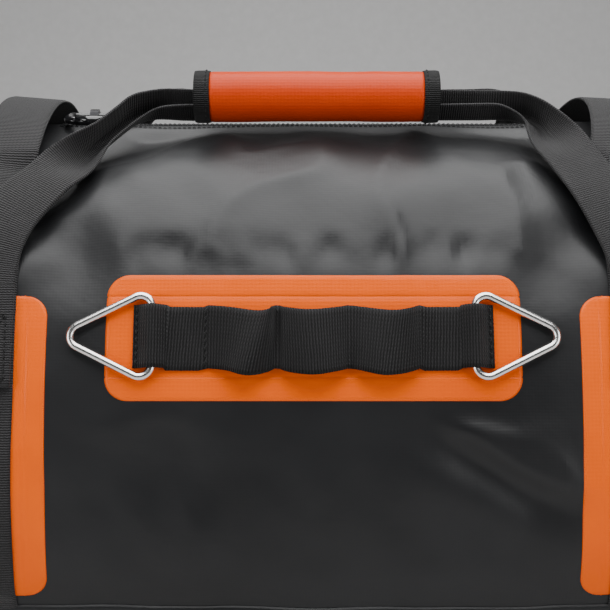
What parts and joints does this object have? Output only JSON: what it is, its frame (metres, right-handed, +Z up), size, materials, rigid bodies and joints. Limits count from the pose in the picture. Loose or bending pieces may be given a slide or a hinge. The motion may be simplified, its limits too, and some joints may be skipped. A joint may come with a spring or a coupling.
{
  "type": "duffel sandbag",
  "caption": "Round duffel-shaped ballast bag in black tarpaulin with top zip, wrapped carry handles, orange patches, daisy chain webbing and triangle lashing rings.",
  "frame": {"origin": "middle of the base panel's underside", "axes": "+X along the bag, -Y the front face, +Z up"},
  "size_m": [0.6848, 0.4148, 0.3828],
  "materials": {
    "black_tarp": "semi-gloss coated cloth",
    "orange_tarp": "gloss coated cloth",
    "black_webbing": "ribbed weave",
    "thread": "waxed thread",
    "ring_steel": "polished",
    "zip_metal": "black, satin",
    "puller_gloss": "gloss",
    "zip_tape": "woven",
    "zip_teeth": "moulded",
    "board": "ribbed",
    "foam": "closed cell foam",
    "pouch_cloth": "woven, welded edges"
  },
  "bodies": {
    "bag": {"band_left": "black_webbing", "band_right": "black_webbing", "base_board": "board", "base_panel": "black_tarp", "body_wrap": "black_tarp", "end_panel_left": "black_tarp", "end_panel_right": "black_tarp", "end_patch_left": "orange_tarp", "end_patch_right": "orange_tarp", "end_piping_left": "black_tarp", "end_piping_right": "black_tarp", "front_chain": "black_webbing", "front_chain_stitching": "thread", "front_handle_end_left": "black_webbing", "front_handle_end_right": "black_webbing", "front_patch": "orange_tarp", "front_side_patch_left": "orange_tarp", "front_side_patch_right": "orange_tarp", "grab_handle_left": "black_webbing", "grab_handle_right": "black_webbing", "rear_chain": "black_webbing", "rear_chain_stitching": "thread", "rear_handle_end_left": "black_webbing", "rear_handle_end_right": "black_webbing", "rear_patch": "orange_tarp", "rear_side_patch_left": "orange_tarp", "rear_side_patch_right": "orange_tarp", "sand_pouch_1": "pouch_cloth", "sand_pouch_2": "pouch_cloth", "sand_pouch_3": "pouch_cloth", "sand_pouch_4": "pouch_cloth", "zip_stop_left": "zip_teeth", "zip_stop_right": "zip_teeth", "zip_tape_front": "zip_tape", "zip_tape_rear": "zip_tape", "zip_teeth_front": "zip_teeth", "zip_teeth_rear": "zip_teeth"},
    "front_handle": {"front_handle_strap": "black_webbing", "grip_pad": "foam", "handle_wrap": "orange_tarp", "wrap_binding_left": "black_webbing", "wrap_binding_right": "black_webbing", "wrap_flap": "orange_tarp"},
    "front_ring_left": {"front_ring_left": "ring_steel"},
    "front_ring_right": {"front_ring_right": "ring_steel"},
    "rear_handle": {"rear_handle_strap": "black_webbing"},
    "rear_ring_left": {"rear_ring_left": "ring_steel"},
    "rear_ring_right": {"rear_ring_right": "ring_steel"},
    "puller": {"zip_puller": "puller_gloss"},
    "slider": {"zip_slider": "zip_metal"}
  },
  "joints": [
    {"name": "front_ring_left_turn", "type": "hinge", "parent": "bag", "child": "front_ring_left", "pos_m": [-0.1005, -0.18018, 0.21913], "axis": [0, 0.3746, 0.9272], "range_deg": [0, 160]},
    {"name": "front_ring_right_turn", "type": "hinge", "parent": "bag", "child": "front_ring_right", "pos_m": [0.1005, -0.18018, 0.21913], "axis": [0, -0.3746, -0.9272], "range_deg": [0, 160]},
    {"name": "rear_ring_left_turn", "type": "hinge", "parent": "bag", "child": "rear_ring_left", "pos_m": [-0.1005, 0.18018, 0.21913], "axis": [0, 0.3746, -0.9272], "range_deg": [0, 160]},
    {"name": "rear_ring_right_turn", "type": "hinge", "parent": "bag", "child": "rear_ring_right", "pos_m": [0.1005, 0.18018, 0.21913], "axis": [0, -0.3746, 0.9272], "range_deg": [0, 160]},
    {"name": "front_handle_swing", "type": "hinge", "parent": "bag", "child": "front_handle", "pos_m": [0, -0.17242, 0.23965], "axis": [1, 0, 0], "range_deg": [0, 165]},
    {"name": "rear_handle_swing", "type": "hinge", "parent": "bag", "child": "rear_handle", "pos_m": [0, 0.17242, 0.23965], "axis": [-1, 0, 0], "range_deg": [0, 165]},
    {"name": "zip_slide", "type": "slide", "parent": "bag", "child": "slider", "axis": [1, 0, 0], "range_m": [0, 0.304]},
    {"name": "puller_flip", "type": "hinge", "parent": "slider", "child": "puller", "pos_m": [-0.164, 0, 0.34959], "axis": [-0.9976, -0.0698, 0], "range_deg": [0, 165]}
  ]
}
